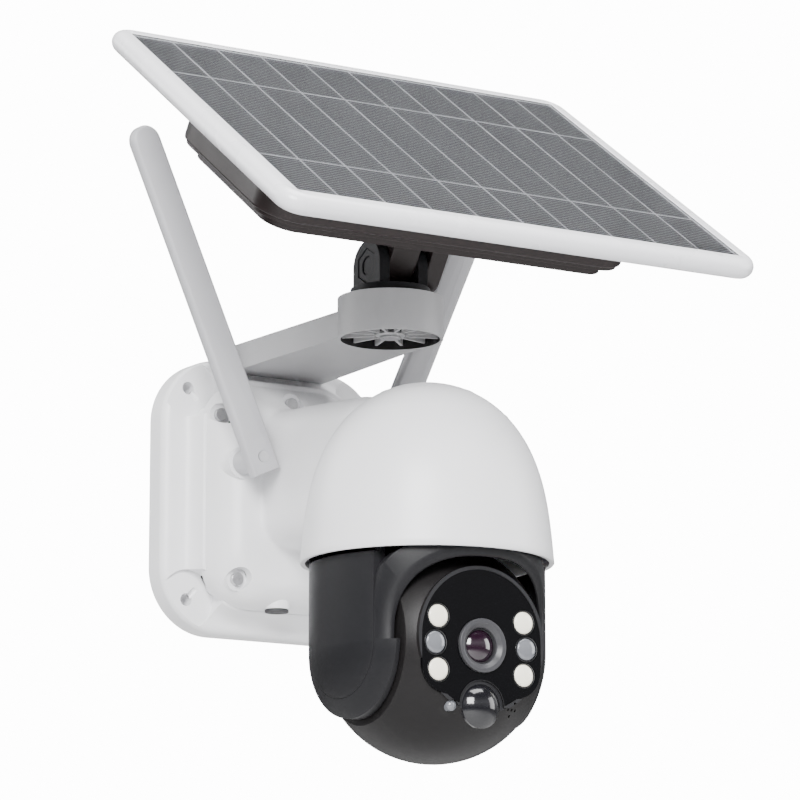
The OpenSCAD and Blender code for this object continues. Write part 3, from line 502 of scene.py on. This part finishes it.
def mark_sharp(obj, angle=38):
    """Keeps crisp edges crisp and the rest smooth."""
    mesh = obj.data
    bm = bmesh.new()
    bm.from_mesh(mesh)
    for e in bm.edges:
        if len(e.link_faces) == 2 and e.calc_face_angle(0) > math.radians(angle):
            e.smooth = False
    bm.to_mesh(mesh)
    bm.free()
    return obj


# ---------- wall flange and housing ----------

SEATS = ((-33.3, 33.9, 23), (33.3, 33.9, 23), (0, 41, 27), (-28.5, -39.2, 30), (28.5, -39.2, 30))
WALL_HOLES = [(sx * 42.8, sz * 46.8) for sx in (-1, 1) for sz in (-1, 1)]


def make_flange():
    edge = [(4 * (1 - math.cos(math.radians(a))), 4 * math.sin(math.radians(a))) for a in range(0, 91, 15)]
    rings = [housing_ring(0, 37, -47, 47, 18), housing_ring(0, 55.25, -61, 61, 29)]
    rings += [housing_ring(8.8 + up, 55.25 - inward, -61 + inward, 61 - inward, 29 - inward)
              for inward, up in edge]
    cove = ((12.8, 47.2, 56.6, 24.5), (13.2, 45.0, 55.6, 23.6), (14.2, 43.2, 54.4, 22.8),
            (15.8, 41.9, 53.2, 22.1), (18, 40.8, 52.2, 21.5), (20.2, 40.1, 51.6, 21.1),
            (20.8, 39.7, 51.2, 20.8), (21, 39.1, 50.6, 20.4))
    rings += [housing_ring(d, w, -h, h, r) for d, w, h, r in cove]
    rings += [housing_ring(21, 37.2, -47.2, 47.2, 18.2), housing_ring(0, 37, -47, 47, 18)]
    body = bridge_rings(rings)
    bm = bmesh.new()
    bm.from_mesh(body)
    bmesh.ops.remove_doubles(bm, verts=bm.verts, dist=0.001 * MM)
    bmesh.ops.recalc_face_normals(bm, faces=bm.faces)
    bm.to_mesh(body)
    bm.free()
    cuts = []
    for x, z in WALL_HOLES:
        cuts.append(rod((x, 1, z), (x, -14, z), 2.8))
        cuts.append(rod((x, -11.5, z), (x, -24, z), 13))
        cuts.append(rod((x * 0.985, -9.8, z * 0.985), (x * 0.9, -12.4, z * 0.9), 1.5))
    foot = ((-24.5, -12.9), (24.5, -12.9), (24.5, -21.2), (-24.5, -21.2))
    shoe = bridge_rings([[(x, y, z) for x, y in foot] for z in (55.3, 66)], True, True)
    cuts.append(shoe)
    hollow = bridge_rings([housing_ring(-1, 52.25, -58, 58, 26), housing_ring(9.4, 52.25, -58, 58, 26),
                           housing_ring(9.4, 40, -50, 50, 21), housing_ring(-1, 40, -50, 50, 21),
                           housing_ring(-1, 52.25, -58, 58, 26)])
    bosses = [rod((x, -0.05, z), (x, -9.6, z), 6.5) for x, z in WALL_HOLES]
    made = join_or_cut(body, cuts + [hollow])
    made = join_or_cut(made, bosses, "UNION")
    made = join_or_cut(made, [rod((x, 1, z), (x, -14, z), 2.8) for x, z in WALL_HOLES])
    obj = add_piece("flange_shell", made, "wall_flange", WHITE)
    return round_edges(mark_sharp(obj), 0.35, 2, 50)


def dome_radius(height):
    t = min(max((height + 45) / 76, 0), 1)
    return 52.6 * (1 - 0.12 * t) * math.sqrt(max(0, 1 - t ** 3.2))


def make_housing():
    body = bridge_rings([housing_ring(*r) for r in (
        (15, 38.8, -49.5, 49.5, 19), (21.05, 38.8, -50.8, 49.6, 20),
        (24, 38.0, -50.4, 46.6, 19.6), (27.5, 36.8, -49.6, 43.6, 19.2),
        (30.5, 35.0, -48.2, 40.6, 19), (33.5, 32.2, -45.6, 38.2, 18), (36, 28.5, -42, 36, 17))], True, True)
    neck = bridge_rings([housing_ring(*r) for r in (
        (28, 18.6, -25, 36.8, 12), (60, 18.4, -25.4, 34.6, 12),
        (104, 18, -26, 31.4, 12), (114, 15, -21, 28, 10))], True, True)
    joined = join_or_cut(body, [neck], "UNION")
    joined = flatten(joined, ("REMESH", {"mode": "VOXEL", "voxel_size": 0.9 * MM}),
                     ("SMOOTH", {"factor": 0.5, "iterations": 26}))
    bores = [rod((16, -26.5, -60), (16, -26.5, -38), 3.25), rod((-6, -26.5, -60), (-6, -26.5, -38), 4)]
    pads = [rod((sx * 29, -27, 11), (sx * 29, -36.5, 11), 7) for sx in (-1, 1)]
    pads += [rod((16, -26.5, -50.3), (16, -26.5, -43.8), 5), rod((-6, -26.5, -50.3), (-6, -26.5, -41.3), 5.8),
             rod((30, -28, -14), (39.3, -28, -14), 6.2)]
    joined = join_or_cut(joined, pads, "UNION")
    heads = [rod((x, -d + 3.2, z), (x, -d - 1, z), 2.9) for x, z, d in SEATS]
    heights = [-45.5 + 76.2 * math.sin(math.radians(90 * k / 28)) for k in range(28)]
    dome = bridge_rings([[(x, PAN_Y + y, z) for x, y in circle(dome_radius(z) * 1.001, 96)] for z in heights],
                        True, True)
    inner = bridge_rings([housing_ring(*r) for r in (
        (10, 36, -46.5, 46.5, 17), (22, 35.6, -47.4, 45, 17),
        (27.5, 33.4, -46, 38.5, 16.5), (33, 26, -39.5, 33.4, 14.5))], True, True)
    pipe = bridge_rings([housing_ring(30, 16, -22.5, 33, 9.5), housing_ring(76, 15.8, -22.8, 30.4, 9.5)],
                        True, True)
    joined = join_or_cut(joined, [inner, pipe])
    joined = join_or_cut(joined, [rod((x, -12, z), (x, -d - 0.5, z), 5.1) for x, z, d in SEATS], "UNION")
    spots = [rod((x, -d, z), (x, -60, z), 4.9) for x, z, d in SEATS]
    joined = join_or_cut(joined, spots + bores + heads + [dome])
    gaps = [rod((sx * 29, -26, 11), (sx * 29, -46, 11), 4.05) for sx in (-1, 1)]
    joined = join_or_cut(joined, gaps + [rod((28, -28, -14), (50, -28, -14), 5)])
    return mark_sharp(add_piece("housing_shell", joined, "front_housing", WHITE), 40)


def make_dome():
    outer = [(dome_radius(z), z) for z in [-45 + 76 * math.sin(math.radians(90 * k / 40)) for k in range(40)]]
    lip = [(50.2, -44.2), (50.5, -44.85), (51.2, -45), (52.3, -45), (52.75 - 0.15, -44.6)]
    inner = [(dome_radius(z) - 2.3, z) for z in (0, -15, -30, -40)]
    crown = [(0.02, 31.0)]
    mesh = lathe([(0.02, 28.6), (20, 26.5), (34, 16)] + inner + lip + outer[1:] + crown, (0, PAN_Y))
    bulkhead = rod((0, -110, 4), (0, -80, 4), 6)
    return mark_sharp(add_piece("dome_shell", join_or_cut(mesh, [bulkhead]), "dome_cover", WHITE), 50)


# ---------- solar arm, antennas and panel ----------


def in_shaded_recess(c, n):
    """Ceiling and inner wall of the hub's ribbed recess, the faces that get painted shade."""
    reach = math.hypot(c.x, c.y - HUB_Y)
    inward = -(n.x * c.x + n.y * (c.y - HUB_Y)) / max(reach, 0.1)
    return 55.6 < c.z < 72 and ((n.z < -0.5 and reach < 22 and c.z > 58) or (inward > 0.8 and reach > 17))


def make_arm():
    obj = add_piece("arm_shell", node_shape("solar_arm"), "solar_arm", ARM)
    # The recess faces under the hub are painted near-black as painted shade.
    second_finish(obj, RECESS_SHADE, in_shaded_recess)
    return round_edges(obj, 0.5, 3)


def make_antenna(side):
    """A flat whip with rounded edges, a blunt round tip and a square-cut root."""
    lean = math.radians(23.6) * side
    tip = [a * math.pi / 20 for a in range(21)]
    outline = [(-BLADE_HALF, -7), (BLADE_HALF, -7)] + [(BLADE_HALF, z) for z in (20, 60, 100, 130)]
    outline += [(BLADE_HALF * math.cos(a), 144.5 + BLADE_HALF * math.sin(a)) for a in tip]
    outline += [(-BLADE_HALF, z) for z in (130, 100, 60, 20)]
    bands = ((47.8, 1.6), (48.0, 0.9), (48.5, 0.35), (49.2, 0), (52.8, 0), (53.5, 0.35), (54.0, 0.9), (54.2, 1.6))
    rings = []
    for depth, inset in bands:
        ring = []
        for x, z in outline:
            sx = x * (1 - inset / BLADE_HALF)
            sz = z - inset * (1 if z > 140 else 0) * (z - 140) / 11.25 + (0.4 * inset if z < 0 else 0)
            ring.append((side * KNUCKLE_X + sx * math.cos(lean) + sz * math.sin(lean), -depth,
                         KNUCKLE_Z - sx * math.sin(lean) + sz * math.cos(lean)))
        rings.append(ring)
    mesh = bridge_rings(rings, True, True)
    far = (side * KNUCKLE_X, -60, KNUCKLE_Z)
    cuts = [rod((side * KNUCKLE_X, depth, KNUCKLE_Z), far, radius) for depth, radius in ((-46, 1.56), (-52.7, 2.5))]
    name = "antenna_left" if side < 0 else "antenna_right"
    obj = add_piece(name + "_whip", join_or_cut(mesh, cuts), name, PALE)
    return mark_sharp(obj, 50)


PANEL_TILT = math.radians(35)


def on_panel(u, v, h):
    """A point u across, v up the slope and h off the tilt axis, in millimetres."""
    return (u, HUB_Y + v * math.cos(PANEL_TILT) - h * math.sin(PANEL_TILT),
            PIVOT_Z + v * math.sin(PANEL_TILT) + h * math.cos(PANEL_TILT))


def panel_ring(half_u, half_v, corner, h, shift=-1.3, count=12):
    return [on_panel(u, v + shift, h) for u, v in rounded_ring(half_u, -half_v, half_v, corner, count)]


def make_panel_frame():
    nose = [(4.5 * math.cos(math.radians(a)) - 4.5, 54.2 + 4.5 * math.sin(math.radians(a)))
            for a in range(-90, 91, 15)]
    rings = [panel_ring(82, 42, 12, 49.7, 5.7)]
    rings += [panel_ring(115 + out, 94 + out, 11 + out, h) for out, h in nose]
    rings += [panel_ring(107.3, 86.3, 1.2, 58.7), panel_ring(107.0, 86.0, 1.0, 58.4),
              panel_ring(107, 86, 1, 55.7), panel_ring(82, 42, 12, 55.7, 5.7), panel_ring(82, 42, 12, 49.7, 5.7)]
    obj = add_piece("panel_bezel", bridge_rings(rings), "panel_frame", FRAME_WHITE)
    return mark_sharp(obj, 44)


def make_cell_sheet():
    """Pale laminate that shows between the strips."""
    mesh = bridge_rings([panel_ring(106.9, 85.9, 1, 55.72), panel_ring(106.9, 85.9, 1, 56.2)], True, True)
    obj = bpy.data.objects.new("cell_sheet", mesh)
    bpy.context.scene.collection.objects.link(obj)
    mesh.materials.append(SHEET)
    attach(obj, "panel")


def make_cells():
    """Ten strips in three rows, with the bare laminate left as light grid lines."""
    bm = bmesh.new()
    for i in range(10):
        w = 18.9 if i in (0, 9) else 21.8
        u = -96.65 if i == 0 else 96.65 if i == 9 else (i - 4.5) * 21.8
        for low, high in ((-84.9, -46.95), (-45.25, 42.55), (44.25, 84.5)):
            spots = [(u + sx * (w / 2 - 0.65), (high if sy > 0 else low) - 1.3) for sx, sy in CORNERS]
            a, b = ([bm.verts.new(Vector(on_panel(*q, h)) * MM) for q in spots] for h in (56.3, 55.8))
            bm.faces.new(a)
            bm.faces.new(list(reversed(b)))
            for j in range(4):
                bm.faces.new((a[j], b[j], b[(j + 1) % 4], a[(j + 1) % 4]))
    bmesh.ops.recalc_face_normals(bm, faces=bm.faces)
    mesh = bpy.data.meshes.new("cell_strips")
    bm.to_mesh(mesh)
    bm.free()
    add_piece("cell_strips", mesh, "solar_cells", CELLS, smooth=False)


def round_shaded(name, node, material, rule):
    """The node's own shape, shaded from the true surface that rule(point) gives."""
    mesh = frame["nodes"][node].data.copy()
    bm = bmesh.new()
    bm.from_mesh(mesh)
    bmesh.ops.remove_doubles(bm, verts=bm.verts, dist=0.002 * MM)
    for e in bm.edges:
        if len(e.link_faces) == 2 and e.calc_face_angle(0) > math.radians(12):
            e.smooth = False
    bm.to_mesh(mesh)
    bm.free()
    obj = add_piece(name, mesh, node, material)
    shading = [Vector(c.vector) for c in mesh.corner_normals]
    for p in mesh.polygons:
        for li in p.loop_indices:
            true = rule(mesh.vertices[mesh.loops[li].vertex_index].co / MM)
            if true and abs(true.dot(p.normal)) > 0.9:
                shading[li] = true * (1 if true.dot(p.normal) > 0 else -1)
    mesh.normals_split_custom_set(shading)
    return obj


def on_ball(p):
    """Outward direction of the ball at p, or None away from its surface."""
    d = p - Vector((0, TILT_Y, TILT_Z))
    return d.normalized() if 42 < d.length < 46.6 else None


def on_turret(p):
    """Outward direction of the turret, a cylinder over a half sphere, or None away from it."""
    d = p - Vector((0, PAN_Y, max(TILT_Z, p.z)))
    return d.normalized() if 45.5 < d.length < 49.2 else None


def lamp(name, node, spots, material):
    """Domed lens in a thin dark rim, at each of the spots on the face."""
    rim = ((5.28, -0.4), (5.28, 0.5), (5.1, 0.62), (4.75, 0.62), (4.6, 0.3), (4.5, 0.1))
    cap = ((4.42, 0.5), (4.0, 0.86), (3.2, 1.12), (2.0, 1.3), (1.0, 1.38), (0.02, 1.4))
    bm = bmesh.new()
    for x, z in spots:
        rings = [[bm.verts.new(Vector((x + across, FACE_Y - h, TILT_Z + z + up)) * MM) for across, up in circle(r, 48)]
                 for r, h in rim + cap]
        for n, (a, b) in enumerate(zip(rings, rings[1:])):
            for i in range(48):
                f = bm.faces.new((a[i], a[(i + 1) % 48], b[(i + 1) % 48], b[i]))
                f.material_index = 1 if n < len(rim) - 1 else 0
        bm.faces.new(rings[0])
    bmesh.ops.recalc_face_normals(bm, faces=bm.faces)
    mesh = bpy.data.meshes.new(name)
    bm.to_mesh(mesh)
    bm.free()
    marks = [p.material_index for p in mesh.polygons]
    obj = add_piece(name, mesh, node, material)
    mesh.materials.append(DARK_RIM)
    for p, m in zip(mesh.polygons, marks):
        p.material_index = m
    mark_sharp(obj, 50)


# ---------- turret and camera ball ----------


def make_front_cover():
    """Curved front of the turret with a hollow moulding round its arched mouth."""
    def mouth(a, half_w, up, power):
        c, s = math.cos(a), math.sin(a)
        return half_w * math.copysign(abs(c) ** power, c), TILT_Z + up * max(s, 0) ** power

    def point(x, z, radius):
        return (x, PAN_Y - math.sqrt(max(radius ** 2 - x ** 2, 0)), z)

    bands = [(35.0, 34.0, 46.4), (35.2, 34.2, 47.0), (35.9, 34.8, 47.6), (36.9, 35.7, 48.15),
             (38.2, 36.8, 48.55), (39.3, 37.6, 48.75), (39.9, 38.2, TURRET_R)]
    rings = []
    for w, up, radius in bands:
        rings.append([point(*mouth(math.pi * k / 72, w, up, 0.72), radius) for k in range(73)])
    rings.append([point(*mouth(math.pi * k / 72, 41.35, 40, 0.4), TURRET_R) for k in range(73)])
    rings.append([point(*mouth(math.pi * k / 72, 41.35, 40, 0.4), 46.4) for k in range(73)])
    rings.append([point(*mouth(math.pi * k / 72, 35.0, 34.0, 0.72), 46.3) for k in range(73)])
    bm = bmesh.new()
    made = [[bm.verts.new(Vector(p) * MM) for p in ring] for ring in rings]
    for a, b in zip(made, made[1:] + made[:1]):
        for i in range(72):
            bm.faces.new((a[i], a[i + 1], b[i + 1], b[i]))
    for end in (0, 72):
        bm.faces.new([ring[end] for ring in made])
    bmesh.ops.recalc_face_normals(bm, faces=bm.faces)
    mesh = bpy.data.meshes.new("front_cover")
    bm.to_mesh(mesh)
    bm.free()
    return mark_sharp(add_piece("turret_mouth", mesh, "turret_front_cover", CHARCOAL), 45)


def make_ball():
    round_shaded("ball_back", "ball_rear_shell", BALL, on_ball)
    front = round_shaded("ball_face", "ball_front_shell", BALL, on_ball)
    second_finish(front, BEZEL, lambda c, n: c.y < -180.4 and n.y < -0.3)
    round_edges(add_piece("face_window_soft", node_shape("face_window"), "face_window", BLACK_GLOSS), 0.2, 2)
    softened("lens_ring", 0.35)
    corners = [(sx * 20.4, -1.4 + k * 10.75) for sx in (-1, 1) for k in (-1, 1)]
    lamp("white_lamps", "white_led_lenses", corners, WARM)
    lamp("infrared_lamps", "infrared_led_lenses", [(sx * 21.7, -1.4) for sx in (-1, 1)], CLEAR)


def make_turret():
    round_shaded("turret_shell", "turret_yoke", CHARCOAL, on_turret)
    round_shaded("cap_left", "side_cap_left", CHARCOAL, on_turret)
    round_shaded("cap_right", "side_cap_right", CHARCOAL, on_turret)


dress_frame()
set_camera()
light_studio()
lay_floor()
make_flange()
make_housing()
make_dome()
make_arm()
for side in (-1, 1):
    make_antenna(side)
make_panel_frame()
make_cell_sheet()
make_cells()
make_front_cover()
make_ball()
make_turret()
for node, width in (
        ("battery_box", 1.6), ("box_lid", 1.0), ("swivel_clevis", 0.5), ("panel_lug", 0.6), ("antenna_knuckles", 0.5),
        ("tilt_nut", 0.25), ("tilt_bolt", 0.3), ("power_button", 0.4), ("port_plug", 0.3), ("lead_gland", 0.4),
        ("box_gland", 0.3), ("rear_cover", 0.4), ("swivel_screw", 0.2), ("housing_screws", 0.25), ("arm_screws", 0.2)):
    softened(node, width)
